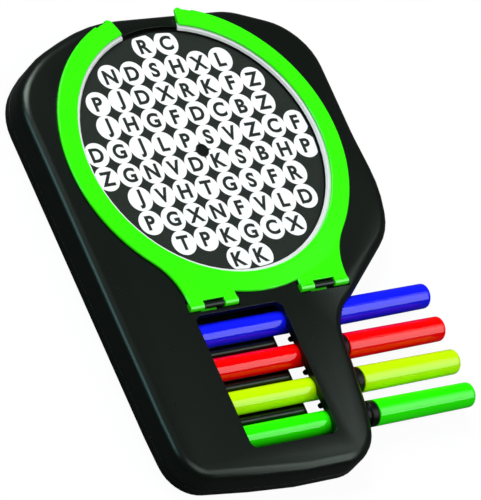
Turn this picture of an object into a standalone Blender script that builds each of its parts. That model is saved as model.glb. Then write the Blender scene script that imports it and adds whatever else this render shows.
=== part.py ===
# Travel word search game: a flat two-part plastic case with a stack of round
# letter cards in a well, a green hinged ring with a clear disc over the top
# card, and four colour pens stored side by side under a window.
#
# Frame: origin on the cards' axis at the underside of the case, +X to the
# right where the pens come out, +Y away from the pens, +Z up. Metres.

import math

import bmesh
import bpy
import numpy as np

for old in list(bpy.data.objects):
    bpy.data.objects.remove(old, do_unlink=True)

# Clearances that several pieces share
GAP = 0.0003
OVERRUN = 0.0010
SINK = 0.0006
PEN_PLAY = 0.0001

# Letter cards and the spindle that they turn on
CARD_RADIUS = 0.0500
CARD_THICKNESS = 0.0012
CARD_HOLE_RADIUS = 0.0025
CARD_RECESS = 0.0010
SPARE_CARDS = 3
WELL_MARGIN = 0.0016
WELL_WALL = 0.0015
WELL_FLOOR = 0.0013

# Pens: barrel and nib inside the case, cap outside
PEN_PITCH = 0.0139
BARREL_RADIUS = 0.0045
BARREL_START = -0.0420
BARREL_END = 0.0190
BARREL_WALL = 0.0008
BARREL_BUTT = 0.0030
BUTT_ROUND = 0.0012
COLLAR_RADIUS = 0.0050
COLLAR_START = 0.0226
COLLAR_ROUND = 0.0007
COLLAR_END = 0.0259
NECK_RADIUS = 0.0043
SPIGOT_LENGTH = 0.0080
NOSE_SHOULDER = 0.0080
NOSE_LENGTH = 0.0200
NOSE_TIP_RADIUS = 0.0020
CAP_MOUTH_RADIUS = 0.0050
CAP_END_RADIUS = 0.0047
CAP_END = 0.0707
CAP_WALL = 0.0007
CAP_DOME = 0.0014
CAP_TIP_RADIUS = 0.0032
CAP_ROOM = 0.0040
CAP_CLEAR = 0.0006
NIB_RADIUS = 0.0012
NIB_TIP_RADIUS = 0.0006
NIB_REACH = 0.0040
NIB_POINT = 0.0012
RESERVOIR_SHARE = 0.85

# Case
FLOOR = 0.0013
PLATE = 0.0012
WALL = 0.0018
RIM_HEIGHT = 0.0040
LIP_HEIGHT = 0.0020
LIP_WALL = 0.0010
EDGE_ROUND = 0.0040
CEILING_ROUND = 0.0020
FOOT_CHAMFER = 0.0006
SHOULDER = 0.0081
FAR_SETBACK = 0.0022

# Green ring, its white liner and the clear disc
LINER_WIDTH = 0.0028
LINER_HEIGHT = 0.0009
LINER_SLOPE = 0.0007
LINER_SHOWN = 0.0016
DISC_PLUG = 0.0007
DISC_FLANGE = 0.0004
DISC_LEDGE = 0.0010
RING_WIDTH = 0.0079
RING_HEIGHT = 0.0016
RING_LIP = 0.0020
RING_EDGE = 0.0004
LEG_THICKNESS = 0.0009
CROWN_SETBACK = 0.0008
GAP_RIGHT_SHARE = 0.145
GAP_LEFT_SHARE = 0.175
END_CHAMFER = 0.0022
NOTCH_DEPTH = 0.0007
NOTCH_LAND = 0.0003
NOTCH_LENGTH = 0.0050

# Hinge between the ring's two legs and the case
HINGE_DROP = 0.0014
HINGE_SUNK = 0.0003
KNUCKLE_RADIUS = 0.0016
CASE_KNUCKLE_RADIUS = 0.0012
PIN_RADIUS = 0.0005
LEG_OUTER = 0.0357
LEG_INNER = 0.0142
LEG_STRAIGHT = 0.0019
NOTCH_OUTER = 0.0295
NOTCH_INNER = 0.0202
NOTCH_REACH = 0.0016
POCKET_MARGIN = 0.0005
POCKET_FRONT = 0.0022
POCKET_BACK = 0.0030
POCKET_DEPTH = 0.0026
POCKET_WALL = 0.0010
TONGUE_BACK = 0.0007
TONGUE_FRONT = 0.0015
TONGUE_TOP = 0.0013
TONGUE_BOTTOM = 0.0019
TONGUE_SHARE = 0.80
POST_WIDTH = 0.0011
POST_HALF_DEPTH = 0.0009

# Window over the pens
WINDOW_SETBACK = 0.0035
WINDOW_FAR_MARGIN = 0.0057
WINDOW_NEAR_MARGIN = 0.0072
WINDOW_LEFT = -0.0350
WINDOW_RIGHT = 0.0038
WINDOW_CORNER = 0.0032
WINDOW_DEPTH = 0.0034
WINDOW_WALL = 0.0012
NEAR_BORDER = 0.0118

# Ribs between the pens, and the slots in the floor that shape their hooks
RIB_TOP = 0.0066
RIB_HALF_WIDTH = 0.0015
RIB_ROUND_SHARE = 0.93
RIB_START = -0.0380
RIB_END = -0.0003
HOOK_HALF_WIDTH = 0.0010
HOOK_START = 0.0084
HOOK_END = 0.0180
HOOK_OFFSET = 0.0017
HOOK_TOP = 0.0025
PEN_HOLE_START = 0.0120
SLOT_START = 0.0034
SLOT_END = 0.0126
SLOT_NEAR = 0.0074
SLOT_FAR = 0.0019
PAD_BACK = 0.0059
PAD_FRONT = 0.0050
PAD_END = 0.0072
STOP_THICKNESS = 0.0016
STOP_HEIGHT = 0.0080

# Screws that hold the two halves together
BOSS_RADIUS = 0.0038
POST_RADIUS = 0.0032
SCREW_HOLE_RADIUS = 0.0014
SCREW_RADIUS = 0.0011
SCREW_HEAD_RADIUS = 0.0025
SCREW_HEAD_HEIGHT = 0.0015
SCREW_SUNK = 0.0006
COUNTERBORE = 0.0024
BOSS_TOP = 0.0077
SCREW_END = 0.0108
SOCKET_DEPTH = 0.0006

# Segment counts
ROUND_LARGE = 72
ROUND_SMALL = 20
ROUND_TINY = 10
EDGE_STEPS = 4
TURN_STEP = math.radians(9)

# Values worked out from the ones above
WELL_RADIUS = CARD_RADIUS + WELL_MARGIN
PEN_HOLE_RADIUS = COLLAR_RADIUS + GAP
PEN_Z = FLOOR + PEN_HOLE_RADIUS + PEN_PLAY
CEILING = PEN_Z + PEN_HOLE_RADIUS + PEN_PLAY
CASE_HEIGHT = CEILING + PLATE
SEAM = RIM_HEIGHT + GAP
CARD_TOP = CASE_HEIGHT - CARD_RECESS
DISC_Z = CARD_TOP + GAP
LINER_Z = DISC_Z + DISC_FLANGE + GAP
LINER_RADIUS = CARD_RADIUS + GAP / 2
DISC_RADIUS = LINER_RADIUS - GAP
RING_Z = CASE_HEIGHT + GAP
RING_TOP = RING_Z + RING_HEIGHT
RING_INNER = LINER_RADIUS + LINER_SHOWN
RING_RADIUS = RING_INNER + RING_WIDTH
LEG_TOP = RING_Z + LEG_THICKNESS
HINGE_Y = -(RING_RADIUS + HINGE_DROP)
HINGE_Z = CASE_HEIGHT - HINGE_SUNK
WINDOW_TOP = HINGE_Y - WINDOW_SETBACK
FIRST_PEN_Y = WINDOW_TOP - WINDOW_FAR_MARGIN
PEN_COLOURS = {
    "blue": (0.005, 0.010, 1.0),
    "red": (0.95, 0.005, 0.010),
    "yellow": (0.58, 0.90, 0.0),
    "green": (0.02, 0.90, 0.005),
}
PEN_YS = [FIRST_PEN_Y - PEN_PITCH * row for row in range(len(PEN_COLOURS))]
WINDOW_BOTTOM = PEN_YS[-1] - WINDOW_NEAR_MARGIN
CASE_HALF_WIDTH = RING_RADIUS + SHOULDER
CASE_FAR = RING_RADIUS - FAR_SETBACK
CASE_NEAR = -(WINDOW_BOTTOM - NEAR_BORDER)
CAP_START = COLLAR_END + GAP

# Corners of the case seen from above, anticlockwise: x as a share of the half
# width, y as a share of the far or near length, and the radius of the corner
# as a share of the half width
CASE_CORNER_SHARES = [
    (1.006, 0.574, 0.358), (0.874, 0.798, 0.378), (0.560, 0.958, 0.359), (-0.300, 1.018, 0.90),
    (-0.521, 0.948, 0.90), (-0.782, 0.827, 0.621), (-1.014, 0.586, 0.352), (-1.005, -0.820, 2.36),
    (-0.984, -0.967, 0.213), (-0.234, -1.012, 3.60), (0.236, -1.001, 0.246), (0.316, -0.871, 0.60),
    (0.357, -0.710, 0.90), (0.384, -0.574, 0.27), (0.952, -0.339, 0.359), (1.028, -0.211, 0.759),
    (1.007, -0.030, 0.80),
]

# Screws: the same two shares for each place
SCREW_PLACE_SHARES = [
    (-0.79, 0.625), (0.81, 0.61), (-0.87, -0.382), (0.872, -0.227), (-0.84, -0.885), (0.118, -0.934),
]


# Materials

def plastic(name, colour, roughness, alpha=1.0, metallic=0.0):
    """A Principled material with one colour and one roughness."""
    made = bpy.data.materials.new(name)
    made.use_nodes = True
    shader = made.node_tree.nodes["Principled BSDF"]
    shader.inputs["Base Color"].default_value = (*colour, 1.0)
    shader.inputs["Roughness"].default_value = roughness
    shader.inputs["Metallic"].default_value = metallic
    shader.inputs["Alpha"].default_value = alpha
    made.diffuse_color = (*colour, alpha)
    return made


CASE_BLACK = plastic("case_black", (0.016, 0.019, 0.017), 0.45)
RING_GREEN = plastic("ring_green", (0.04, 1.0, 0.0), 0.35)
LINER_WHITE = plastic("liner_white", (0.86, 0.87, 0.88), 0.40)
DISC_CLEAR = plastic("disc_clear", (0.95, 0.97, 0.97), 0.05, alpha=0.1)
CARD_BOARD = plastic("card_board", (0.040, 0.052, 0.045), 0.60)
PIN_STEEL = plastic("pin_steel", (0.60, 0.60, 0.62), 0.30, metallic=1.0)
GRIP_BLACK = plastic("grip_black", (0.008, 0.008, 0.009), 0.35)
FELT = plastic("felt", (0.80, 0.80, 0.78), 0.95)


# Shapes, each a pair of vertices and faces

def prism(outline, bottom, top):
    """An upright solid over an outline."""
    return lofted([(outline, bottom), (outline, top)])


def lofted(levels):
    """A closed solid through rings of equal point counts, capped at both ends."""
    count = len(levels[0][0])
    points = np.vstack([np.column_stack((ring, np.full(count, height))) for ring, height in levels])
    faces = [list(range(count))[::-1]]
    for level in range(len(levels) - 1):
        low = level * count
        high = low + count
        for step in range(count):
            after = (step + 1) % count
            faces.append((low + step, low + after, high + after, high + step))
    last = (len(levels) - 1) * count
    faces.append(list(range(last, last + count)))
    return points, faces


def turned(profile, segments, closed=False):
    """A profile of (radius, height) points turned round the upright axis.

    An open profile starts and ends on the axis; a closed one is a ring's section."""
    angles = np.arange(segments) * math.tau / segments + math.pi / segments
    points = []
    rows = []
    for radius, height in profile:
        if radius == 0:
            rows.append([len(points)] * segments)
            points.append((0, 0, height))
        else:
            rows.append(list(range(len(points), len(points) + segments)))
            points.extend((radius * math.cos(a), radius * math.sin(a), height) for a in angles)
    pairs = list(zip(rows, rows[1:]))
    if closed:
        pairs.append((rows[-1], rows[0]))
    faces = []
    for low, high in pairs:
        for step in range(segments):
            after = (step + 1) % segments
            corners = [low[step], low[after], high[after], high[step]]
            faces.append(list(dict.fromkeys(corners)))
    return np.array(points), faces


def cylinder(radius, bottom, top, segments=ROUND_SMALL):
    """A plain upright cylinder."""
    return turned([(0, bottom), (radius, bottom), (radius, top), (0, top)], segments)


def block(low, high):
    """A box between two corners."""
    outline = [(low[0], low[1]), (high[0], low[1]), (high[0], high[1]), (low[0], high[1])]
    return prism(np.array(outline), low[2], high[2])


def moved(shape, x=0.0, y=0.0, z=0.0):
    """The shape shifted by x, y and z."""
    points, faces = shape
    return points + np.array((x, y, z)), faces


def laid(shape, y=0.0, z=0.0):
    """An upright turned shape laid along +X, with its axis at y and z."""
    points, faces = shape
    return points[:, [2, 0, 1]] + np.array((0, y, z)), faces


def merged(shapes):
    """Several separate shapes as one."""
    points = []
    faces = []
    for more_points, more_faces in shapes:
        start = len(points)
        points.extend(more_points)
        faces.extend([[start + corner for corner in face] for face in more_faces])
    return np.array(points), faces


def rounded(corners, turn_step=TURN_STEP):
    """A closed outline through (x, y, radius) corners, each turned by an arc."""
    outline = []
    for index, (x, y, radius) in enumerate(corners):
        here = np.array((x, y))
        before = np.array(corners[index - 1][:2]) - here
        after = np.array(corners[(index + 1) % len(corners)][:2]) - here
        before = before / np.linalg.norm(before)
        after = after / np.linalg.norm(after)
        opening = math.acos(float(np.clip(before @ after, -1, 1)))
        centre = here + (before + after) / np.linalg.norm(before + after) * radius / math.sin(opening / 2)
        first = here + before * radius / math.tan(opening / 2) - centre
        last = here + after * radius / math.tan(opening / 2) - centre
        start = math.atan2(first[1], first[0])
        turn = (math.atan2(last[1], last[0]) - start + math.pi) % math.tau - math.pi
        steps = max(1, math.ceil(abs(turn) / turn_step))
        for step in range(steps + 1):
            angle = start + turn * step / steps
            outline.append(centre + radius * np.array((math.cos(angle), math.sin(angle))))
    return np.array(outline)


def inset(outline, distance):
    """The anticlockwise outline moved inwards by a distance."""
    along = np.roll(outline, -1, axis=0) - outline
    along = along / np.linalg.norm(along, axis=1)[:, None]
    inward = np.column_stack((-along[:, 1], along[:, 0]))
    middle = inward + np.roll(inward, 1, axis=0)
    middle = middle / np.linalg.norm(middle, axis=1)[:, None]
    lean = (middle * inward).sum(axis=1)
    return outline + middle * (distance / lean)[:, None]


def rounded_box(left, right, near, far, radius):
    """A rectangle seen from above, with round corners."""
    return rounded([(right, far, radius), (left, far, radius), (left, near, radius), (right, near, radius)])


# Objects

def mesh_object(name, shape, material, pivot=(0, 0, 0), smooth_angle=math.radians(35)):
    """A closed mesh object whose origin is at the pivot."""
    points, faces = shape
    mesh = bpy.data.meshes.new(name)
    mesh.from_pydata((points - np.array(pivot)).tolist(), [], faces)
    work = bmesh.new()
    work.from_mesh(mesh)
    bmesh.ops.recalc_face_normals(work, faces=work.faces)
    work.to_mesh(mesh)
    work.free()
    mesh.materials.append(material)
    mesh.shade_smooth()
    mesh.set_sharp_from_angle(angle=smooth_angle)
    made = bpy.data.objects.new(name, mesh)
    made.location = pivot
    bpy.context.scene.collection.objects.link(made)
    return made


def combine(target, operation, name, shapes):
    """Join shapes to the target, or cut them from it, with one Boolean."""
    tool = mesh_object(name, merged(shapes), target.data.materials[0])
    tool.hide_render = True
    tool.display_type = "WIRE"
    step = target.modifiers.new(name, "BOOLEAN")
    step.operation = operation
    step.solver = "EXACT"
    step.object = tool


# Places that several pieces follow

def case_place(x_share, y_share):
    """A point from its shares of the case's half width and of its far or near length."""
    return CASE_HALF_WIDTH * x_share, (CASE_FAR if y_share > 0 else CASE_NEAR) * y_share


def case_outline():
    """The case seen from above."""
    return rounded([(*case_place(x, y), CASE_HALF_WIDTH * radius) for x, y, radius in CASE_CORNER_SHARES])


def pen_tunnels(radius, start, end):
    """One lying cylinder for each pen."""
    return [laid(cylinder(radius, start, end), y, PEN_Z) for y in PEN_YS]


def hinge_sides():
    """For the left and right hinge: the x of each knuckle's ends, in rising order."""
    right = [LEG_INNER, NOTCH_INNER, NOTCH_OUTER, LEG_OUTER]
    return [[-x for x in reversed(right)], right]


def at_hinge(shape):
    """A turned shape laid on the hinge's axis."""
    return laid(shape, HINGE_Y, HINGE_Z)


# Case

def top_shell():
    """The upper half: plate and wall, card well, window, hinge pockets and screw posts."""
    outline = case_outline()
    levels = []
    for step in range(EDGE_STEPS, -1, -1):
        angle = math.pi / 2 * step / EDGE_STEPS
        levels.append((inset(outline, WALL + CEILING_ROUND * (1 - math.cos(angle))),
                       CEILING - CEILING_ROUND * (1 - math.sin(angle))))
    levels.append((inset(outline, WALL), SEAM))
    levels.append((outline, SEAM))
    for step in range(EDGE_STEPS + 1):
        angle = math.pi / 2 * step / EDGE_STEPS
        levels.append((inset(outline, EDGE_ROUND * (1 - math.cos(angle))),
                       CASE_HEIGHT - EDGE_ROUND * (1 - math.sin(angle))))
    shell = mesh_object("top_shell", lofted(levels), CASE_BLACK)

    under_plate = CEILING + SINK
    well_floor = CARD_TOP - (SPARE_CARDS + 1) * (CARD_THICKNESS + GAP)
    well = cylinder(WELL_RADIUS + WELL_WALL, well_floor - WELL_FLOOR, under_plate, ROUND_LARGE)
    posts = [moved(cylinder(POST_RADIUS, BOSS_TOP + GAP, under_plate), *case_place(*place))
             for place in SCREW_PLACE_SHARES]
    combine(shell, "UNION", "well_and_posts", [well, *posts])

    rim_bottom = CASE_HEIGHT - WINDOW_DEPTH
    rim = rounded_box(WINDOW_LEFT - WINDOW_WALL, WINDOW_RIGHT + WINDOW_WALL,
                      WINDOW_BOTTOM - WINDOW_WALL, WINDOW_TOP + WINDOW_WALL,
                      WINDOW_CORNER + WINDOW_WALL)
    combine(shell, "UNION", "window_rim", [prism(rim, rim_bottom, under_plate)])

    pocket_low = HINGE_Z - POCKET_DEPTH
    tubs = []
    pockets = []
    for ends in hinge_sides():
        left = ends[0] - POCKET_MARGIN
        right = ends[3] + POCKET_MARGIN
        near = HINGE_Y - POCKET_FRONT
        far = HINGE_Y + POCKET_BACK
        tubs.append(block((left - POCKET_WALL, near - POCKET_WALL, pocket_low - POCKET_WALL),
                          (right + POCKET_WALL, far + POCKET_WALL, under_plate)))
        pockets.append(block((left, near, pocket_low), (right, far, CASE_HEIGHT + OVERRUN)))
    combine(shell, "UNION", "hinge_tubs", tubs)

    opening = rounded_box(WINDOW_LEFT, WINDOW_RIGHT, WINDOW_BOTTOM, WINDOW_TOP, WINDOW_CORNER)
    holes = [moved(cylinder(SCREW_HOLE_RADIUS, BOSS_TOP - OVERRUN, CEILING - SOCKET_DEPTH, ROUND_TINY),
                   *case_place(*place)) for place in SCREW_PLACE_SHARES]
    combine(shell, "DIFFERENCE", "openings", [
        cylinder(WELL_RADIUS, well_floor, CASE_HEIGHT + OVERRUN, ROUND_LARGE),
        prism(opening, rim_bottom - OVERRUN, CASE_HEIGHT + OVERRUN),
        *pockets,
        *holes,
    ])
    combine(shell, "DIFFERENCE", "barrel_arches",
            pen_tunnels(BARREL_RADIUS + GAP, WINDOW_LEFT - WINDOW_WALL - OVERRUN,
                        WINDOW_RIGHT + WINDOW_WALL + OVERRUN))
    combine(shell, "DIFFERENCE", "pen_holes", pen_tunnels(PEN_HOLE_RADIUS, PEN_HOLE_START, CASE_HALF_WIDTH))

    spindle = cylinder(CARD_HOLE_RADIUS - GAP, well_floor - SINK, CARD_TOP - GAP)
    knuckles = []
    knuckle_posts = []
    bores = []
    for ends in hinge_sides():
        left = ends[1] + GAP
        right = ends[2] - GAP
        knuckles.append(at_hinge(cylinder(CASE_KNUCKLE_RADIUS, left, right)))
        knuckle_posts.append(block(
            (right - POST_WIDTH, HINGE_Y - POST_HALF_DEPTH, pocket_low - SINK),
            (right - SINK / 2, HINGE_Y + POST_HALF_DEPTH, HINGE_Z)))
        bores.append(at_hinge(cylinder(PIN_RADIUS + GAP, left - OVERRUN, right + OVERRUN, ROUND_TINY)))
    combine(shell, "UNION", "spindle_and_knuckles", [spindle, *knuckles])
    combine(shell, "UNION", "knuckle_posts", knuckle_posts)
    combine(shell, "DIFFERENCE", "knuckle_bores", bores)
    return shell


def base_shell():
    """The lower half: floor, rim and lip, screw bosses, ribs between the pens."""
    outline = case_outline()
    lip_out = WALL + GAP
    lip_in = lip_out + LIP_WALL
    lip_top = RIM_HEIGHT + LIP_HEIGHT
    shell = mesh_object("base_shell", lofted([
        (inset(outline, FOOT_CHAMFER), 0),
        (outline, FOOT_CHAMFER),
        (outline, RIM_HEIGHT),
        (inset(outline, lip_out), RIM_HEIGHT),
        (inset(outline, lip_out), lip_top),
        (inset(outline, lip_in), lip_top),
        (inset(outline, lip_in), FLOOR),
    ]), CASE_BLACK)

    foot = FLOOR - SINK
    parts = [moved(cylinder(BOSS_RADIUS, foot, BOSS_TOP), *case_place(*place))
             for place in SCREW_PLACE_SHARES]
    for above, below in zip(PEN_YS, PEN_YS[1:]):
        middle = (above + below) / 2
        for start, end, half, centre, top in (
                (RIB_START, RIB_END, RIB_HALF_WIDTH, middle, RIB_TOP),
                (HOOK_START, HOOK_END, HOOK_HALF_WIDTH, middle + HOOK_OFFSET, HOOK_TOP)):
            rib = rounded_box(start, end, centre - half, centre + half, half * RIB_ROUND_SHARE)
            parts.append(prism(rib, foot, top))
    parts.append(block((RIB_END, PEN_YS[0] + PAD_FRONT, foot),
                       (PAD_END, PEN_YS[0] + PAD_BACK, RIB_TOP + GAP)))
    stop_end = BARREL_START - GAP
    parts.append(block((stop_end - STOP_THICKNESS, WINDOW_BOTTOM, foot),
                       (stop_end, WINDOW_TOP, STOP_HEIGHT)))
    combine(shell, "UNION", "bosses_and_ribs", parts)

    cuts = []
    for place in SCREW_PLACE_SHARES:
        cuts.append(moved(turned([
            (0, -OVERRUN), (SCREW_HEAD_RADIUS + GAP, -OVERRUN), (SCREW_HEAD_RADIUS + GAP, COUNTERBORE),
            (SCREW_HOLE_RADIUS, COUNTERBORE), (SCREW_HOLE_RADIUS, BOSS_TOP + OVERRUN),
            (0, BOSS_TOP + OVERRUN),
        ], ROUND_TINY), *case_place(*place)))
    for above in PEN_YS[:-1]:
        cuts.append(block((SLOT_START, above - SLOT_NEAR, -OVERRUN),
                          (SLOT_END, above - SLOT_FAR, FLOOR + GAP)))
    combine(shell, "DIFFERENCE", "screw_holes_and_slots", cuts)
    combine(shell, "DIFFERENCE", "pen_notches", pen_tunnels(PEN_HOLE_RADIUS, PEN_HOLE_START, CASE_HALF_WIDTH))
    return shell


def case_screws():
    """The screws that are put in from below, one object each."""
    screw = turned([
        (0, SCREW_SUNK), (SCREW_HEAD_RADIUS, SCREW_SUNK),
        (SCREW_HEAD_RADIUS, SCREW_SUNK + SCREW_HEAD_HEIGHT),
        (SCREW_RADIUS, SCREW_SUNK + SCREW_HEAD_HEIGHT),
        (SCREW_RADIUS, SCREW_END), (0, SCREW_END),
    ], ROUND_TINY)
    for number, place in enumerate(SCREW_PLACE_SHARES, start=1):
        x, y = case_place(*place)
        mesh_object(f"case_screw_{number}", moved(screw, x, y), PIN_STEEL)


# Cards

def cards():
    """The letter card on top and the spare cards under it, all round the spindle."""
    for number in range(SPARE_CARDS + 1):
        top = CARD_TOP - number * (CARD_THICKNESS + GAP)
        section = [(CARD_HOLE_RADIUS, top - CARD_THICKNESS), (CARD_RADIUS, top - CARD_THICKNESS),
                   (CARD_RADIUS, top), (CARD_HOLE_RADIUS, top)]
        name = f"spare_card_{number}" if number else "letter_card"
        mesh_object(name, turned(section, ROUND_LARGE, closed=True), CARD_BOARD)


# Ring

def sector(from_angle, to_angle, inner, outer):
    """A flat wedge of a ring seen from above, angles measured from +X."""
    steps = max(2, math.ceil(abs(to_angle - from_angle) / TURN_STEP))
    angles = np.linspace(from_angle, to_angle, steps + 1)
    unit = np.column_stack((np.cos(angles), np.sin(angles)))
    return np.vstack((unit * outer, unit[::-1] * inner))


def ring_gap():
    """The angles at which the ring's right and left ends stand."""
    right = math.pi / 2 * (1 - GAP_RIGHT_SHARE)
    left = math.pi / 2 * (1 + GAP_LEFT_SHARE)
    return right, left


def ring_outline():
    """The outer edge of the ring with its two flared legs, anticlockwise.

    An arc that touches both the ring and the leg's straight outer side joins the two."""
    reach = -HINGE_Y - LEG_STRAIGHT
    flare = (reach ** 2 + LEG_OUTER ** 2 - RING_RADIUS ** 2) / (2 * (RING_RADIUS - LEG_OUTER))
    low = math.asin(reach / (RING_RADIUS + flare))
    arc = np.linspace(-low, math.pi + low, ROUND_LARGE)
    circle = np.column_stack((np.cos(arc), np.sin(arc))) * RING_RADIUS
    turn = np.linspace(math.pi - low, math.pi, 2 * EDGE_STEPS)[1:]
    bend = np.column_stack((LEG_OUTER + flare + flare * np.cos(turn), flare * np.sin(turn) - reach))
    foot = math.asin(LEG_INNER / RING_RADIUS)
    side = np.vstack((bend, [
        (LEG_OUTER, HINGE_Y),
        (LEG_INNER, HINGE_Y),
        (LEG_INNER, -RING_RADIUS * math.cos(foot)),
    ]))
    sweep = np.linspace(-foot, foot, EDGE_STEPS + 2)[1:-1]
    under = np.column_stack((np.sin(sweep), -np.cos(sweep))) * RING_RADIUS
    return np.vstack((circle, side * np.array((-1, 1)), under, side[::-1]))


def ring_frame():
    """The green ring: a crown that slopes outwards on a flat plate with two hinged legs."""
    pivot = (0, HINGE_Y, HINGE_Z)
    outline = ring_outline()
    frame = mesh_object("ring_frame", lofted([
        (outline, RING_Z), (outline, LEG_TOP - RING_EDGE), (inset(outline, RING_EDGE), LEG_TOP),
    ]), RING_GREEN, pivot)

    crown_radius = RING_RADIUS - CROWN_SETBACK
    crown = turned([
        (0, LEG_TOP - SINK), (crown_radius, LEG_TOP - SINK), (crown_radius, LEG_TOP),
        (RING_INNER + RING_LIP, RING_TOP), (0, RING_TOP),
    ], ROUND_LARGE)
    combine(frame, "UNION", "ring_crown", [crown])

    liner_outer = LINER_RADIUS + LINER_WIDTH + GAP
    liner_top = LINER_Z + LINER_HEIGHT + GAP
    bore = turned([
        (0, RING_Z - OVERRUN), (liner_outer, RING_Z - OVERRUN), (liner_outer, liner_top),
        (RING_INNER, liner_top), (RING_INNER, RING_TOP - RING_EDGE),
        (RING_INNER + RING_EDGE, RING_TOP), (RING_INNER + RING_EDGE, RING_TOP + OVERRUN),
        (0, RING_TOP + OVERRUN),
    ], ROUND_LARGE)
    combine(frame, "DIFFERENCE", "ring_bore", [bore])

    right, left = ring_gap()
    beyond = RING_RADIUS + OVERRUN
    cuts = [prism(sector(right, left, LINER_RADIUS - OVERRUN, beyond)[::-1], RING_Z - OVERRUN,
                  RING_TOP + OVERRUN)]
    notches = []
    for ends in hinge_sides():
        notches.append(block((ends[1], HINGE_Y - KNUCKLE_RADIUS - OVERRUN, RING_Z - OVERRUN),
                             (ends[2], HINGE_Y + NOTCH_REACH, RING_TOP + OVERRUN)))
    combine(frame, "DIFFERENCE", "ring_gap", cuts + notches)

    edges = []
    for end, turn in ((right, -1), (left, 1)):
        chamfer = END_CHAMFER / RING_RADIUS
        tip = end - turn * chamfer / 2
        corner = np.array([
            (beyond * math.cos(tip), beyond * math.sin(tip)),
            (beyond * math.cos(end + turn * chamfer), beyond * math.sin(end + turn * chamfer)),
            ((RING_RADIUS - END_CHAMFER) * math.cos(tip), (RING_RADIUS - END_CHAMFER) * math.sin(tip)),
        ])
        start = end + turn * (END_CHAMFER + NOTCH_LAND) / RING_RADIUS
        stop = start + turn * NOTCH_LENGTH / RING_RADIUS
        edges.append(prism(corner, RING_Z - OVERRUN, RING_TOP + OVERRUN))
        edges.append(prism(sector(start, stop, RING_RADIUS - NOTCH_DEPTH, beyond),
                           RING_Z - OVERRUN, RING_TOP + OVERRUN))
    combine(frame, "DIFFERENCE", "ring_ends", edges)

    barrels = []
    tongues = []
    bores = []
    for ends in hinge_sides():
        barrels.append(at_hinge(cylinder(KNUCKLE_RADIUS, ends[0], ends[1])))
        barrels.append(at_hinge(cylinder(KNUCKLE_RADIUS, ends[2], ends[3])))
        room = ends[2] - ends[1] - POST_WIDTH
        tongues.append(block(
            (ends[1] - SINK, HINGE_Y - TONGUE_FRONT, HINGE_Z - TONGUE_BOTTOM),
            (ends[1] + room * TONGUE_SHARE, HINGE_Y - TONGUE_BACK, HINGE_Z - TONGUE_TOP)))
        bores.append(at_hinge(cylinder(PIN_RADIUS + GAP, ends[0] + SINK, ends[3] - SINK, ROUND_TINY)))
    combine(frame, "UNION", "ring_knuckles", barrels)
    combine(frame, "UNION", "ring_tongues", tongues)
    combine(frame, "DIFFERENCE", "ring_pin_bores", bores)
    return frame


def ring_liner():
    """The white ring under the green one, open at the same side."""
    pivot = (0, HINGE_Y, HINGE_Z)
    outer = LINER_RADIUS + LINER_WIDTH
    step = WELL_RADIUS - GAP
    top = LINER_Z + LINER_HEIGHT
    liner = mesh_object("ring_liner", turned([
        (LINER_RADIUS, LINER_Z), (step, LINER_Z), (step, RING_Z), (outer, RING_Z), (outer, top),
        (LINER_RADIUS + LINER_SLOPE, top),
    ], ROUND_LARGE, closed=True), LINER_WHITE, pivot)
    right, left = ring_gap()
    wedge = prism(sector(right, left, LINER_RADIUS - OVERRUN, outer + OVERRUN), LINER_Z - OVERRUN,
                  top + OVERRUN)
    combine(liner, "DIFFERENCE", "liner_gap", [wedge])
    return liner


def clear_disc():
    """The clear writing disc: a plug inside the liner on a thin flange under it."""
    flange = DISC_RADIUS + DISC_LEDGE
    flange_top = DISC_Z + DISC_FLANGE
    top = flange_top + DISC_PLUG
    return mesh_object("clear_disc", turned([
        (0, DISC_Z), (flange, DISC_Z), (flange, flange_top), (DISC_RADIUS, flange_top),
        (DISC_RADIUS, top), (0, top),
    ], ROUND_LARGE), DISC_CLEAR, (0, HINGE_Y, HINGE_Z))


def hinge_pins():
    """A steel pin in each hinge."""
    for name, ends in zip(("hinge_pin_left", "hinge_pin_right"), hinge_sides()):
        pin = cylinder(PIN_RADIUS, ends[0] + SINK + GAP, ends[3] - SINK - GAP, ROUND_TINY)
        mesh_object(name, at_hinge(pin), PIN_STEEL, (0, HINGE_Y, HINGE_Z))


# Pens

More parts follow.
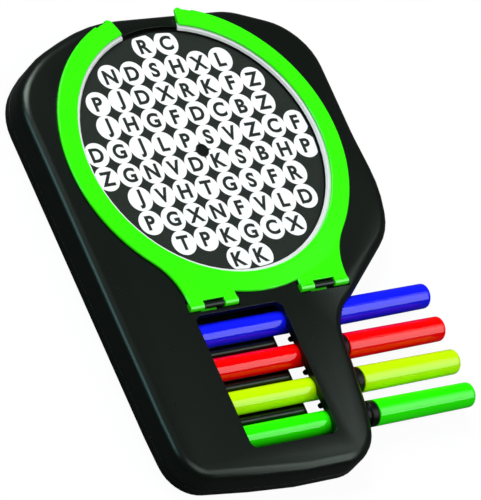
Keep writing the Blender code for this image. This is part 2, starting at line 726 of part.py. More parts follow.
def pen(colour, rgb, y):
    """One pen: barrel, ink reservoir, grip, nib and cap, all on one axis along +X."""
    pivot = (0, y, PEN_Z)
    ink = plastic(f"pen_{colour}", rgb, 0.25)

    def piece(name, profile, material, segments=ROUND_SMALL, closed=False):
        return mesh_object(f"{name}_{colour}", laid(turned(profile, segments, closed), y, PEN_Z),
                           material, pivot)

    bore = BARREL_RADIUS - BARREL_WALL
    butt_end = BARREL_START + BARREL_BUTT
    piece("barrel", [
        (0, BARREL_START), (BARREL_RADIUS - BUTT_ROUND, BARREL_START),
        (BARREL_RADIUS, BARREL_START + BUTT_ROUND), (BARREL_RADIUS, BARREL_END),
        (bore, BARREL_END), (bore, butt_end), (0, butt_end),
    ], ink)

    spigot = bore - GAP
    nose = CAP_MOUTH_RADIUS - CAP_WALL - GAP
    nib_bore = NIB_RADIUS + GAP
    spigot_start = BARREL_END - SPIGOT_LENGTH
    nose_tip = COLLAR_END + NOSE_LENGTH
    piece("grip", [
        (nib_bore, spigot_start), (spigot, spigot_start), (spigot, BARREL_END + GAP),
        (NECK_RADIUS, BARREL_END + GAP), (NECK_RADIUS, COLLAR_START),
        (COLLAR_RADIUS, COLLAR_START + COLLAR_ROUND), (COLLAR_RADIUS, COLLAR_END),
        (nose, COLLAR_END), (nose, COLLAR_END + NOSE_SHOULDER), (NOSE_TIP_RADIUS, nose_tip),
        (nib_bore, nose_tip),
    ], GRIP_BLACK, closed=True)

    reservoir_radius = (bore - GAP) * RESERVOIR_SHARE
    reservoir_end = spigot_start - GAP
    piece("reservoir", [
        (0, butt_end + GAP), (reservoir_radius, butt_end + GAP), (reservoir_radius, reservoir_end),
        (0, reservoir_end),
    ], FELT, ROUND_TINY)

    nib_end = nose_tip + NIB_REACH
    piece("nib", [
        (0, reservoir_end + GAP), (NIB_RADIUS, reservoir_end + GAP), (NIB_RADIUS, nib_end - NIB_POINT),
        (NIB_TIP_RADIUS, nib_end), (0, nib_end),
    ], ink, ROUND_TINY)

    mouth = CAP_MOUTH_RADIUS - CAP_WALL
    room_end = nib_end + CAP_ROOM
    dome_start = CAP_END - CAP_DOME
    dome_height = CAP_END_RADIUS - CAP_TIP_RADIUS
    dome = []
    for step in range(1, EDGE_STEPS + 1):
        angle = math.pi / 2 * step / EDGE_STEPS
        dome.append((CAP_TIP_RADIUS + dome_height * math.cos(angle),
                     dome_start + CAP_DOME * math.sin(angle)))
    piece("cap", [
        (0, room_end), (NOSE_TIP_RADIUS + GAP, room_end), (NOSE_TIP_RADIUS + CAP_CLEAR, nose_tip),
        (mouth, COLLAR_END + NOSE_SHOULDER + GAP), (mouth, CAP_START), (CAP_MOUTH_RADIUS, CAP_START),
        (CAP_END_RADIUS, dome_start), *dome, (0, CAP_END),
    ], ink)


top_shell()
base_shell()
case_screws()
cards()
ring_frame()
ring_liner()
clear_disc()
hinge_pins()
for (pen_colour, pen_rgb), pen_y in zip(PEN_COLOURS.items(), PEN_YS):
    pen(pen_colour, pen_rgb, pen_y)
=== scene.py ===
# %% [markdown]
# # A travel word search game
#
# The object is a flat black plastic case. A round letter card lies in a well at
# one end, under a hinged green ring with a clear disc. Four colour pens are
# stored side by side at the other end, under a window, with their caps outside.
#
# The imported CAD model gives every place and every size. This script keeps its
# frame, replaces what needs a finer surface, and gives each piece its finish.

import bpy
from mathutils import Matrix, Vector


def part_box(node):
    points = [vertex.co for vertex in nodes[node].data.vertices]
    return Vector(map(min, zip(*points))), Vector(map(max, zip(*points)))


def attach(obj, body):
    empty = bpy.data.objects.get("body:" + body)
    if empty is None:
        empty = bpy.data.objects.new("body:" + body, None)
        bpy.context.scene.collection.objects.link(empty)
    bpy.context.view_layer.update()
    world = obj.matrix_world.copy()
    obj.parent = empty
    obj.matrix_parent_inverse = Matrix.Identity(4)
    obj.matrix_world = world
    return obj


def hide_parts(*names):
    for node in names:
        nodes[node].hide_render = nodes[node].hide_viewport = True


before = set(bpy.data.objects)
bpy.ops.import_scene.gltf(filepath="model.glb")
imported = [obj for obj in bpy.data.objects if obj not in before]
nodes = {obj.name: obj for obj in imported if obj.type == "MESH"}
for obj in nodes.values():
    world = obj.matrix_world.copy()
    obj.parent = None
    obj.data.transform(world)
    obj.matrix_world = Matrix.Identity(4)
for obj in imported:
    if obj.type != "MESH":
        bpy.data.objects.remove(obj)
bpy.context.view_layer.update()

import math

import bmesh
import bpy
import numpy as np
from mathutils import Matrix, Vector

MM = 0.001

# %% [markdown]
# ## Places taken from the frame
#
# Reading the boxes of the CAD nodes keeps this script right if a size in the
# source changes. Only sizes that no box can tell are written as numbers.

# %% Read the boxes
def low_high(node):
    """The lowest and highest corner of a CAD node, as two arrays."""
    low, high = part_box(node)
    return np.array(low), np.array(high)


CARD_RADIUS, _, CARD_TOP = low_high("letter_card")[1]
PITCH = CARD_RADIUS / 5
print("card top", CARD_TOP, "card radius", CARD_RADIUS, "letter pitch", PITCH)

# %% [markdown]
# ## Camera
#
# The photograph was taken from far away with a long lens, so lines that are
# parallel stay nearly parallel. The camera was solved from the letter grid:
# these are its direction, its roll and the point that it looks at.

# %% Put the camera
VIEW_ELEVATION = math.radians(48.526)
VIEW_AZIMUTH = math.radians(-60.776)
VIEW_ROLL = math.radians(43.0985)
VIEW_TARGET = Vector((-2.769, -41.696, 12.3)) * MM
VIEW_DISTANCE = 2.9445
VIEW_LENS = 584.15

back = Vector((
    math.sin(VIEW_AZIMUTH) * math.cos(VIEW_ELEVATION),
    -math.cos(VIEW_AZIMUTH) * math.cos(VIEW_ELEVATION),
    math.sin(VIEW_ELEVATION),
))
camera_data = bpy.data.cameras.new("camera")
camera_data.lens = VIEW_LENS
camera_data.clip_end = 10
camera = bpy.data.objects.new("camera", camera_data)
bpy.context.scene.collection.objects.link(camera)
upright = (-back).to_track_quat("-Z", "Y").to_matrix()
camera.matrix_world = (
    Matrix.Translation(VIEW_TARGET + back * VIEW_DISTANCE)
    @ (upright @ Matrix.Rotation(VIEW_ROLL, 3, "Z")).to_4x4()
)
bpy.context.scene.camera = camera
bpy.context.scene.view_settings.view_transform = "Standard"
print("camera at", tuple(round(v, 3) for v in camera.location))

# %% [markdown]
# ## Materials as Python expressions
#
# A shader is a formula, so it is easier to read as one. This small class wraps
# a node's output, and each operator adds the Math node that works it out. One
# method makes any other node from its type, its settings and its inputs.

# %% A socket that can be calculated with
class Value:
    """A number that changes over the surface, with operators that add Math nodes."""

    def __init__(self, finish, socket):
        self.finish = finish
        self.socket = socket

    def _math(self, operation, *values):
        made = self.finish.node("ShaderNodeMath", {"operation": operation},
                                dict(enumerate(values)))
        return Value(self.finish, made.outputs[0])

    def __add__(self, other):
        return self._math("ADD", self, other)

    def __sub__(self, other):
        return self._math("SUBTRACT", self, other)

    def __rsub__(self, other):
        return self._math("SUBTRACT", other, self)

    def __mul__(self, other):
        return self._math("MULTIPLY", self, other)

    __radd__ = __add__
    __rmul__ = __mul__

    def ramp(self, start, end):
        """0 below start, 1 above end, and a smooth step between them."""
        made = self.finish.node("ShaderNodeMapRange", {"interpolation_type": "SMOOTHSTEP"},
                                {"Value": self, "From Min": start, "From Max": end})
        return Value(self.finish, made.outputs["Result"])


class Finish:
    """A Principled material whose fixed values are set at once, and whose nodes are added by name."""

    def __init__(self, name, **fixed):
        self.material = bpy.data.materials.new(name)
        self.material.use_nodes = True
        self.tree = self.material.node_tree
        self.shader = self.tree.nodes["Principled BSDF"]
        for socket, value in fixed.items():
            self.shader.inputs[socket.replace("_", " ")].default_value = value

    def node(self, kind, settings=None, values=None):
        """Adds a node, applies its settings, then sets or links its inputs."""
        made = self.tree.nodes.new(kind)
        for name, setting in (settings or {}).items():
            setattr(made, name, setting)
        for name, value in (values or {}).items():
            if isinstance(value, Value):
                self.tree.links.new(value.socket, made.inputs[name])
            elif isinstance(value, bpy.types.NodeSocket):
                self.tree.links.new(value, made.inputs[name])
            else:
                made.inputs[name].default_value = value
        return made

    def place(self):
        """The place on the piece, in metres."""
        return self.node("ShaderNodeTexCoord").outputs["Object"]

    def noise(self, scale, detail):
        """A cloudy value from 0 to 1, with about scale clouds to the metre."""
        made = self.node("ShaderNodeTexNoise", None, {
            "Vector": self.place(), "Scale": scale, "Detail": detail})
        return Value(self, made.outputs[0])

    def colours(self, factor, first, second):
        """The first colour where the factor is 0 and the second where it is 1."""
        made = self.node("ShaderNodeMix", {"data_type": "RGBA"},
                         {"Factor": factor, 6: (*first, 1), 7: (*second, 1)})
        return made.outputs[2]

    def bump(self, height, distance):
        """Makes the surface look raised by the height times the distance."""
        made = self.node("ShaderNodeBump", None,
                         {"Height": height, "Distance": distance, "Strength": 1.0})
        self.feed("Normal", made.outputs["Normal"])

    def feed(self, socket, value):
        """Links a value or a colour to one input of the shader."""
        source = value.socket if isinstance(value, Value) else value
        self.tree.links.new(source, self.shader.inputs[socket])


# %% [markdown]
# ## Finishes
#
# The case is satin black plastic: moulded surfaces have a very fine grain that
# spreads reflections, and handling leaves faint cloudy changes in the gloss.
# The ring and the pens are brighter, smoother mouldings. All of them could be one
# plain colour each, but a real moulding is never quite even, so one function
# gives each finish its clouds and its grain.

# %% Moulded plastic
CLOUD_SCALE = 90
CLOUD_EDGES = (0.35, 0.65)
GRAIN_SCALE = 9000


def moulded(name, colour, darker, gloss, gloss_spread, grain, specular=0.5, tint=(1, 1, 1)):
    """Moulded plastic: cloudy colour and gloss, with fine grain as bump."""
    finish = Finish(name, Specular_IOR_Level=specular, Specular_Tint=(*tint, 1))
    clouds = finish.noise(CLOUD_SCALE, detail=4)
    finish.feed("Base Color", finish.colours(clouds.ramp(*CLOUD_EDGES), colour, darker))
    finish.feed("Roughness", clouds * gloss_spread + (gloss - gloss_spread / 2))
    finish.bump(finish.noise(GRAIN_SCALE, detail=2), grain)
    return finish.material


# %% Make the finishes
CASE_BLACK = moulded("case_black", (0.0027, 0.0043, 0.0032), (0.0023, 0.0037, 0.0028),
                     0.28, 0.04, 6e-7, specular=0.42, tint=(0.80, 1.0, 0.88))
RING_GREEN = moulded("ring_green", (0.040, 1.0, 0.0), (0.036, 0.96, 0.0), 0.16, 0.04, 5e-7)
LINER_WHITE = moulded("liner_white", (0.80, 0.80, 0.80), (0.77, 0.77, 0.77), 0.35, 0.05, 1e-6)
GRIP_BLACK = moulded("grip_black", (0.0030, 0.0030, 0.0035), (0.0024, 0.0024, 0.0028),
                     0.35, 0.05, 5e-7, specular=0.2)
PEN_GLOSS = (0.06, 0.02, 2e-8, 0.25)
PEN_INKS = {
    "blue": moulded("pen_blue", (0.006, 0.012, 1.0), (0.005, 0.010, 0.97), *PEN_GLOSS),
    "red": moulded("pen_red", (0.97, 0.0, 0.0005), (0.94, 0.0, 0.0005), *PEN_GLOSS),
    "yellow": moulded("pen_yellow", (0.58, 1.0, 0.0), (0.56, 0.97, 0.0), *PEN_GLOSS),
    "green": moulded("pen_green", (0.02, 1.0, 0.0), (0.018, 0.96, 0.0), *PEN_GLOSS),
}
CARD_BLACK = moulded("card_black", (0.0135, 0.0200, 0.0150), (0.0125, 0.0185, 0.0140),
                     0.50, 0.06, 4e-7, specular=0.2)
CARD_WHITE = moulded("card_white", (0.97, 0.97, 0.97), (0.95, 0.95, 0.95), 0.50, 0.06, 1e-6)
CLEAR = Finish("clear_plastic", Base_Color=(0.1, 0.1, 0.1, 1), Roughness=0.05, Alpha=0.015).material
STEEL = moulded("zinc_steel", (0.62, 0.62, 0.64), (0.55, 0.55, 0.57), 0.30, 0.10, 1e-6)
FELT = moulded("felt", (0.80, 0.80, 0.78), (0.70, 0.70, 0.68), 0.95, 0.05, 2e-5)
print(len(bpy.data.materials), "materials")

# %% [markdown]
# ## Pieces that keep their CAD mesh
#
# Screws, hinge pins, cards and ink reservoirs are plain shapes that are hidden
# or nearly so. Their CAD meshes are fine as they are, so they only get a finish.

# %% Finish the plain pieces
def finish_node(name, material):
    """Gives a CAD node its finish."""
    slots = nodes[name].data.materials
    slots.clear()
    slots.append(material)


for name in nodes:
    if name.startswith("case_screw") or name.startswith("hinge_pin"):
        finish_node(name, STEEL)
    elif name.startswith("spare_card") or name == "letter_card":
        finish_node(name, CARD_BLACK)
    elif name.startswith("reservoir"):
        finish_node(name, FELT)
print("plain pieces:", [name for name in nodes if nodes[name].data.materials])

# %% [markdown]
# ## Pieces as meshes
#
# Every new piece is made from arrays: numpy works out all points at once, and
# the mesh takes them in one call.

# %% A mesh piece from arrays
SMOOTH_ANGLE = math.radians(35)


def piece(name, points, faces, material, body, slot):
    """A closed mesh with its place in its points, riding on a CAD body."""
    mesh = bpy.data.meshes.new(name)
    mesh.from_pydata(np.asarray(points, float).tolist(), [], [list(face) for face in faces])
    mesh.materials.append(material)
    mesh.shade_smooth()
    mesh.set_sharp_from_angle(angle=SMOOTH_ANGLE)
    made = bpy.data.objects.new(name, mesh)
    bpy.context.scene.collection.objects.link(made)
    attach(made, body)
    return made


# %% [markdown]
# ## The moulded shells with soft edges
#
# A moulding has no knife edges: the tool leaves every edge slightly round, and
# that small round catches the light as a thin line. The CAD model has the right
# form with hard edges, so its corner points are welded, and a Bevel rounds them.
# The ribs between the pens are rounded almost to half a circle, so their edges
# get a width of their own.

# %% Weld and round the shells
WELD = 0.02 * MM
FLAT_ANGLE = math.radians(0.6)
EDGE_ANGLE = math.radians(40)
SOFT_SEGMENTS = 3


def edged(made, title, width, segments, edges):
    """Adds a Bevel of a width to the chosen edges, kept in an attribute of the mesh."""
    weights = made.data.attributes.new(title, "FLOAT", "EDGE")
    weights.data.foreach_set("value", edges.astype(np.float32))
    bevel = made.modifiers.new(title, "BEVEL")
    bevel.limit_method = "WEIGHT"
    bevel.edge_weight = title
    bevel.width = width
    bevel.segments = segments
    bevel.use_clamp_overlap = False
    bevel.harden_normals = True


def refined(node, width, material, body, slot, special=None, special_width=0, special_segments=0):
    """The CAD node's own form, welded at its corners and rounded by width at its edges.

    Where special is true of an edge's middle, the edge gets special_width instead."""
    work = bmesh.new()
    work.from_mesh(nodes[node].data)
    bmesh.ops.remove_doubles(work, verts=work.verts, dist=WELD)
    bmesh.ops.dissolve_limit(work, angle_limit=FLAT_ANGLE, verts=work.verts, edges=work.edges)
    work.verts.index_update()
    points = [vertex.co.copy() for vertex in work.verts]
    faces = [[vertex.index for vertex in face.verts] for face in work.faces]
    corners = {frozenset(vertex.index for vertex in edge.verts): edge.calc_face_angle(0)
               for edge in work.edges}
    work.free()
    made = piece("soft_" + node, points, faces, material, body, slot)
    sharp = np.array([corners[frozenset(edge.vertices)] > EDGE_ANGLE for edge in made.data.edges])
    middles = [(points[edge.vertices[0]] + points[edge.vertices[1]]) / 2 for edge in made.data.edges]
    chosen = np.array([bool(special) and special(*middle) for middle in middles])
    if special:
        edged(made, "special_edges", special_width, special_segments, sharp & chosen)
    edged(made, "soft_edges", width, SOFT_SEGMENTS, sharp & ~chosen)
    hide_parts(node)
    print(made.name, len(points), "points")
    return made


# %% Round the shells and the ring
RIB_EDGE = 1.42 * MM
RIB_TOP = 6.6 * MM
RIB_SEGMENTS = 5
pens_low = low_high("barrel_green")[0]
pens_high = low_high("barrel_blue")[1]


def on_rib(x, y, z):
    """True of the upper edges of the ribs between the pens."""
    return abs(z - RIB_TOP) < WELD and pens_low[0] < x < 0 and pens_low[1] < y < pens_high[1]


refined("top_shell", 0.14 * MM, CASE_BLACK, "case", "case_black")
refined("base_shell", 0.12 * MM, CASE_BLACK, "case", "case_black", on_rib, RIB_EDGE, RIB_SEGMENTS)
refined("ring_frame", 0.12 * MM, RING_GREEN, "ring", "ring_green")
refined("ring_liner", 0.10 * MM, LINER_WHITE, "ring", "liner_white")
refined("clear_disc", 0.08 * MM, CLEAR, "ring", "clear")

# %% [markdown]
# ## The pens
#
# A pen's parts are round, so each is a profile turned round the pen's axis. The
# profile is a few corners, and each corner is rounded by a small curve, as a
# moulded edge is. The cap tapers slightly and ends almost flat. A cylinder with
# a Bevel would do too, but the hollow parts need a profile in any case. Long
# straights get extra points, because shading is spread over a whole face.

# %% A profile with rounded corners
CORNER_STEPS = 6
CORNER_LIMIT = 0.45
HOLD = 0.12 * MM
LONG_STEP = 4 * MM
SAME_POINT = 1e-7


def held(path):
    """The same path with points added near the ends of its long straights and along them,
    at end + share (start - end), so that a curve's shading stays beside the curve."""
    parts = []
    for start, end in zip(path, path[1:]):
        length = np.hypot(*(end - start))
        shares = np.array([0.0])
        if length > 4 * HOLD:
            steps = 2 + int(length / LONG_STEP)
            shares = np.concatenate(([0.0], np.linspace(HOLD / length, 1 - HOLD / length, steps)))
        parts.append(start + shares[:, None] * (end - start))
    return np.vstack(parts + [path[-1:]])


def softened(corners):
    """Rows of x, radius and rounding as a path: at each corner the curve
    (1 - t)^2 a + 2 t (1 - t) corner + t^2 b joins the points a and b on its two sides."""
    corners = np.array(corners, float)
    path = [corners[:1, :2]]
    t = np.linspace(0, 1, CORNER_STEPS)[:, None]
    for before, here, after in zip(corners, corners[1:], corners[2:]):
        back = before[:2] - here[:2]
        on = after[:2] - here[:2]
        back_length = np.hypot(*back)
        on_length = np.hypot(*on)
        a = here[:2] + back / back_length * min(here[2], back_length * CORNER_LIMIT)
        b = here[:2] + on / on_length * min(here[2], on_length * CORNER_LIMIT)
        path.append((1 - t) ** 2 * a + 2 * t * (1 - t) * here[:2] + t ** 2 * b)
    path.append(corners[-1:, :2])
    path = np.vstack(path)
    keep = np.append(True, np.linalg.norm(np.diff(path, axis=0), axis=1) > SAME_POINT)
    return held(path[keep])


# %% A profile turned round an axis
SWEEP_STEPS = 96


def turned(path, centre, closed=False):
    """Each path point x, r becomes the circle (x, y0 + r cos a, z0 + r sin a).

    An open path starts and ends on the axis; a closed one is the section of a sleeve."""
    angle = np.arange(SWEEP_STEPS) * math.tau / SWEEP_STEPS
    rings = path if closed else path[1:-1]
    points = np.empty((len(rings), SWEEP_STEPS, 3))
    points[..., 0] = rings[:, :1]
    points[..., 1] = centre[1] + rings[:, 1:] * np.cos(angle)
    points[..., 2] = centre[2] + rings[:, 1:] * np.sin(angle)
    step = np.arange(SWEEP_STEPS)
    after = (step + 1) % SWEEP_STEPS
    low = np.arange(len(rings) if closed else len(rings) - 1)[:, None] * SWEEP_STEPS
    high = (low + SWEEP_STEPS) % (len(rings) * SWEEP_STEPS)
    quads = np.stack((low + step, low + after, high + after, high + step), axis=-1).reshape(-1, 4)
    points = points.reshape(-1, 3)
    faces = quads.tolist()
    if not closed:
        first = len(points)
        last = first + 1
        points = np.vstack((points, (path[0, 0], *centre[1:]), (path[-1, 0], *centre[1:])))
        faces += [[first, after[i], step[i]] for i in step]
        top = (len(rings) - 1) * SWEEP_STEPS
        faces += [[last, top + step[i], top + after[i]] for i in step]
    return points, faces


# %% Sizes inside the pens
CLEARANCE = 0.3 * MM
FINE_EDGE = 0.1 * MM
MOULDED_EDGE = 0.2 * MM
BARREL_WALL = 0.8 * MM
BARREL_EDGE = 0.15 * MM
BUTT_DEPTH = 3.0 * MM
BUTT_ROUND = 1.3 * MM
BUTT_INSIDE = 0.3 * MM
NECK_RADIUS = 4.3 * MM
NECK_END = 3.3 * MM
COLLAR_START = 3.1 * MM
COLLAR_ROUNDS = (0.9 * MM, 0.5 * MM)
SPIGOT_LENGTH = 8.0 * MM
SHOULDER_ROUND = 1.0 * MM
NOSE_RADIUS = 2.0 * MM
NOSE_ROUND = 0.4 * MM
NIB_TIP = 1.2 * MM
NIB_ROUNDS = (0.4 * MM, 0.3 * MM)
NIB_TIP_SHARE = 0.45
CAP_WALL = 0.7 * MM
CAP_ROOM = 4.0 * MM
CAP_LIP = 0.3 * MM
CAP_END_ROUND = 1.5 * MM
CAP_TIP_CLEAR = 0.6 * MM
CAP_TIP_ROUNDS = (0.3 * MM, 0.5 * MM)
CAP_TAPER = 0.94

# %% Make the four pens
for colour, ink in PEN_INKS.items():
    low, high = low_high("barrel_" + colour)
    centre = (low + high) / 2
    radius = (high[1] - low[1]) / 2
    bore = radius - BARREL_WALL
    butt = low[0] + BUTT_DEPTH
    barrel = piece("fine_barrel_" + colour, *turned(softened([
        (low[0], 0, 0), (low[0], radius, BUTT_ROUND), (high[0], radius, BARREL_EDGE),
        (high[0], bore, BARREL_EDGE), (butt, bore, BUTT_INSIDE), (butt, 0, 0)]), centre),
        ink, "pen_" + colour, "pen_" + colour)
    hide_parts("barrel_" + colour)

    cap_low, cap_high = low_high("cap_" + colour)
    grip_low, grip_high = low_high("grip_" + colour)
    nib_low, nib_high = low_high("nib_" + colour)
    mouth = (cap_high[1] - cap_low[1]) / 2
    end = mouth * CAP_TAPER
    inside = mouth - CAP_WALL
    nose = inside - CLEARANCE
    collar = (grip_high[1] - grip_low[1]) / 2
    collar_end = cap_low[0] - CLEARANCE
    shoulder = collar_end + SPIGOT_LENGTH
    tip = grip_high[0]
    plug = bore - CLEARANCE
    plug_end = high[0] + CLEARANCE
    nib_radius = (nib_high[1] - nib_low[1]) / 2
    nib_bore = nib_radius + CLEARANCE
    sleeve = softened([
        (grip_low[0], nib_bore, 0), (grip_low[0], plug, MOULDED_EDGE), (plug_end, plug, 0),
        (plug_end, NECK_RADIUS, MOULDED_EDGE), (collar_end - NECK_END, NECK_RADIUS, MOULDED_EDGE),
        (collar_end - COLLAR_START, collar, COLLAR_ROUNDS[0]), (collar_end, collar, COLLAR_ROUNDS[1]),
        (collar_end, nose, FINE_EDGE), (shoulder, nose, SHOULDER_ROUND),
        (tip, NOSE_RADIUS, NOSE_ROUND), (tip, nib_bore, FINE_EDGE), (grip_low[0], nib_bore, 0)])[:-1]
    grip = piece("fine_grip_" + colour, *turned(sleeve, centre, closed=True), GRIP_BLACK,
                 "pen_" + colour, "grip_black")
    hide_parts("grip_" + colour)

    nib = piece("fine_nib_" + colour, *turned(softened([
        (nib_low[0], 0, 0), (nib_low[0], nib_radius, FINE_EDGE),
        (nib_high[0] - NIB_TIP, nib_radius, NIB_ROUNDS[0]),
        (nib_high[0], nib_radius * NIB_TIP_SHARE, NIB_ROUNDS[1]), (nib_high[0], 0, 0)]), centre),
        ink, "pen_" + colour, "nib_" + colour)
    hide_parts("nib_" + colour)

    room = nib_high[0] + CAP_ROOM
    cap = piece("fine_cap_" + colour, *turned(softened([
        (room, 0, 0), (room, NOSE_RADIUS + CLEARANCE, CAP_TIP_ROUNDS[0]),
        (tip, NOSE_RADIUS + CAP_TIP_CLEAR, CAP_TIP_ROUNDS[1]),
        (shoulder + CLEARANCE, inside, SHOULDER_ROUND), (cap_low[0], inside, FINE_EDGE),
        (cap_low[0], mouth, CAP_LIP), (cap_high[0], end, CAP_END_ROUND), (cap_high[0], 0, 0)]), centre),
        ink, "pen_cap_" + colour, "pen_" + colour)
    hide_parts("cap_" + colour)
print("pens", [round(v / MM, 2) for v in (radius, collar, mouth, end)])

# %% [markdown]
# ## The print on the letter card
#
# White discs stand on a square grid and just touch, so that dark four-pointed
# stars stay between them. A disc that would cross the card's edge is cut there.
# Each disc is a very thin body, because a printed shape that is geometry stays
# sharp however close the camera comes. Neighbours overlap a little, so every
# second disc is a trace thicker, and no two tops lie at the same height.

# %% Find the letter places
CELL_REACH = 4.65
axis_steps = np.arange(-4.5, 5)
grid_x, grid_y = np.meshgrid(axis_steps, axis_steps[::-1])
cells = np.column_stack((grid_x.ravel(), grid_y.ravel()))
cells = cells[np.hypot(*cells.T) < CELL_REACH]
print(len(cells), "letter places")

# %% Print the white discs
DISC_SHARE = 0.508
PRINT_LIMIT = 0.99
PRINT_START = 0.055
FILM = 0.02 * MM
DISC_POINTS = 48
TOP_STEP_SHARE = 0.3


def thin_discs(centres, radius, bottoms, tops):
    """Upright thin discs: each centre plus radius times (cos a, sin a), at two heights,
    held between the spindle hole and the card's edge."""
    angle = np.arange(DISC_POINTS) * math.tau / DISC_POINTS
    rim = centres[:, None, :] + radius * np.column_stack((np.cos(angle), np.sin(angle)))[None]
    reach = np.linalg.norm(rim, axis=2, keepdims=True)
    rim = rim * np.clip(1, CARD_RADIUS * PRINT_START / reach, CARD_RADIUS * PRINT_LIMIT / reach)
    heights = np.stack((bottoms, tops), axis=1)
    count = len(centres)
    points = np.empty((count, 2, DISC_POINTS, 3))
    points[..., :2] = rim[:, None]
    points[..., 2] = heights[:, :, None]
    step = np.arange(DISC_POINTS)
    after = (step + 1) % DISC_POINTS
    sides = np.column_stack((step, after, after + DISC_POINTS, step + DISC_POINTS))
    faces = []
    for start in np.arange(count) * 2 * DISC_POINTS:
        faces.append((start + DISC_POINTS + step).tolist())
        faces.append((start + step[::-1]).tolist())
        faces.extend((start + sides).tolist())
    return points.reshape(-1, 3), faces


checker = np.floor(cells).sum(axis=1) % 2
disc_tops = CARD_TOP + FILM * (1 + TOP_STEP_SHARE * checker)
disc_points, disc_faces = thin_discs(cells * PITCH, PITCH * DISC_SHARE,
                                     np.full(len(cells), CARD_TOP), disc_tops)
piece("print_discs", disc_points, disc_faces, CARD_WHITE, "card_top", "letter_card")
print(len(disc_points), "disc points")

# %% [markdown]
# ## The letters
#
# Blender's text object knows the outlines of all letters. One text is made for
# each letter of the alphabet that is used, turned into a mesh, and its points
# are then copied to every place by numpy. Which letter stands where comes from
# a simple formula that uses consonants only, so no words can appear.

# %% Outlines of the letters
ALPHABET = "BCDFGHJKLNPRSTVXZ"
LETTER_SIZE = 0.79
LETTER_WEIGHT = 0.028
LETTER_FILM = 0.02 * MM
LETTER_CURVE_STEPS = 6


def glyph(letter):
    """The points and faces of one bold letter, centred, one unit to a letter pitch."""
    curve = bpy.data.curves.new("glyph", "FONT")
    curve.body = letter
    curve.size = LETTER_SIZE
    curve.offset = LETTER_WEIGHT
    curve.extrude = 0.001
    curve.resolution_u = LETTER_CURVE_STEPS
    holder = bpy.data.objects.new("glyph", curve)
    mesh = holder.to_mesh()
    points = np.empty(len(mesh.vertices) * 3, np.float32)
    mesh.vertices.foreach_get("co", points)
    points = points.reshape(-1, 3).astype(float)
    faces = [list(face.vertices) for face in mesh.polygons]
    holder.to_mesh_clear()
    bpy.data.objects.remove(holder)
    bpy.data.curves.remove(curve)
    middle = (points.max(axis=0) + points.min(axis=0)) / 2
    return points - middle, faces


glyphs = {letter: glyph(letter) for letter in ALPHABET}
print(len(glyphs), "different letters")

# %% Print the letters
row = np.round(4.5 - cells[:, 1]).astype(int)
column = np.round(cells[:, 0] + 4.5).astype(int)
choice = (5 * row + 7 * column + 3 * row * column + row * row) % len(ALPHABET)
letter_points = []
letter_faces = []
count = 0
for place, index, top in zip(cells, choice, disc_tops):
    points, faces = glyphs[ALPHABET[index]]
    flat = (points[:, :2] + place) * PITCH
    heights = top + np.where(points[:, 2] > 0, LETTER_FILM, -FILM / 2)
    letter_points.append(np.column_stack((flat, heights)))
    letter_faces.extend([[count + corner for corner in face] for face in faces])
    count += len(points)
piece("print_letters", np.vstack(letter_points), letter_faces, CARD_BLACK,
      "card_top", "letter_card")
print(count, "letter points")

# %% [markdown]
# ## Floor
#
# The game lies on a pale floor. To the camera the floor is almost white by
# itself, so the background is white without any extra light on the object, and
# a faint shadow stays. In a mirror-like reflection it is dark, as a real sweep
# is where no lamp reaches, so that black plastic stays black.

# %% Floor
FLOOR_SIZE = 3.0
FLOOR_DARK = (0.08, 0.08, 0.08)
FLOOR_PALE = (0.96, 0.96, 0.96)
FLOOR_GLOW = 0.94
floor_mesh = bpy.data.meshes.new("floor")
floor_corners = np.array([(-1, -1, 0), (1, -1, 0), (1, 1, 0), (-1, 1, 0)]) * FLOOR_SIZE
floor_mesh.from_pydata(floor_corners.tolist(), [], [(0, 1, 2, 3)])
floor = bpy.data.objects.new("floor", floor_mesh)
bpy.context.scene.collection.objects.link(floor)
floor_finish = Finish("floor", Roughness=1.0, Specular_IOR_Level=0.0)
paths = floor_finish.node("ShaderNodeLightPath")
seen = (Value(floor_finish, paths.outputs["Is Camera Ray"])
        + Value(floor_finish, paths.outputs["Is Transmission Ray"]))
mirrored = Value(floor_finish, paths.outputs["Is Glossy Ray"])
floor_finish.feed("Base Color", floor_finish.colours(
    seen * 0.7 - mirrored * 0.3 + 0.3, FLOOR_DARK, FLOOR_PALE))
glow = floor_finish.node("ShaderNodeEmission", None, {"Color": (1, 1, 1, 1), "Strength": 1.0})
mixed = floor_finish.node("ShaderNodeMixShader", None, {
    0: seen * FLOOR_GLOW, 1: floor_finish.shader.outputs[0], 2: glow.outputs[0]})
floor_output = floor_finish.tree.nodes["Material Output"]
floor_finish.tree.links.new(mixed.outputs[0], floor_output.inputs["Surface"])
floor_mesh.materials.append(floor_finish.material)
print("floor", FLOOR_SIZE * 2, "m across")

# %% [markdown]
# ## Light from all around
#
# A room gives some light from every side. The camera sees this backdrop as
# plain white. The object gets a quarter of that, and reflections less again,
# because a studio is mostly dark around its softboxes.

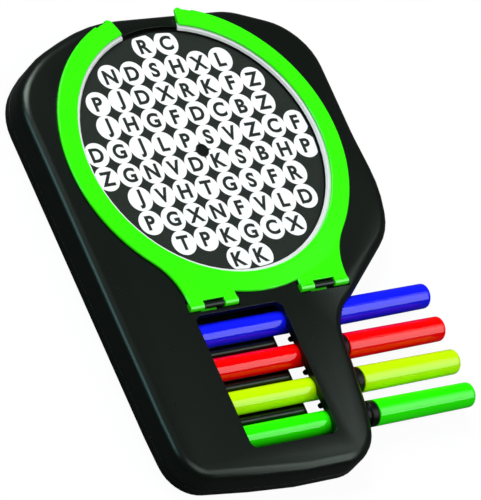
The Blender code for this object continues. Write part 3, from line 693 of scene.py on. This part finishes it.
# %% World
world = bpy.data.worlds.new("studio")
bpy.context.scene.world = world
world.use_nodes = True
sky = Finish.__new__(Finish)
sky.tree = world.node_tree
paths = sky.node("ShaderNodeLightPath")
seen = Value(sky, paths.outputs["Is Camera Ray"]) + Value(sky, paths.outputs["Is Transmission Ray"])
mirrored = Value(sky, paths.outputs["Is Glossy Ray"])
level = seen * 0.75 - mirrored * 0.18 + 0.25
background = sky.tree.nodes["Background"]
background.inputs["Color"].default_value = (1, 1, 1, 1)
sky.tree.links.new(level.socket, background.inputs["Strength"])


# %% [markdown]
# ## Softboxes
#
# Bright streaks on glossy plastic are pictures of the lamps. A key lamp and a
# top lamp give the light level. A long strip makes the straight streak along
# all four pens, a small patch makes the soft gleam on the ring and on the case,
# and a bluish side lamp draws the line along the case's left edge.

# %% Lamps
def lamp(name, direction, distance, width, height, power, colour=(1, 1, 1), along=None):
    """A softbox that looks at the object's middle from a direction, its width along another."""
    data = bpy.data.lights.new(name, "AREA")
    data.shape = "RECTANGLE"
    data.size = width
    data.size_y = height
    data.energy = power
    data.color = colour
    made = bpy.data.objects.new(name, data)
    bpy.context.scene.collection.objects.link(made)
    towards = Vector(direction).normalized()
    across = Vector(along or (-towards.y, towards.x, 0))
    across = (across - towards * across.dot(towards)).normalized()
    turn = Matrix((across, towards.cross(across), towards)).transposed()
    made.matrix_world = Matrix.Translation(VIEW_TARGET + towards * distance) @ turn.to_4x4()
    return made


lamp("key", (-0.05, 0.72, 0.69), 1.4, 0.7, 0.7, 12.6)
lamp("top", (0.10, -0.30, 0.95), 1.4, 0.8, 0.8, 4.6)
lamp("strip", (0.6188, -0.4069, 0.6719), 2.022, 1.768, 0.36, 10.2, along=(-0.0562, 0.9043, 0.4218))
lamp("patch", (0.6860, 0.1150, 0.7180), 2.0, 0.26, 0.38, 1.0, along=(0.0932, 0.9533, 0.2872))
lamp("side", (-0.64, 0.32, 0.70), 1.2, 0.5, 0.4, 2.7, (0.55, 0.87, 1.0))
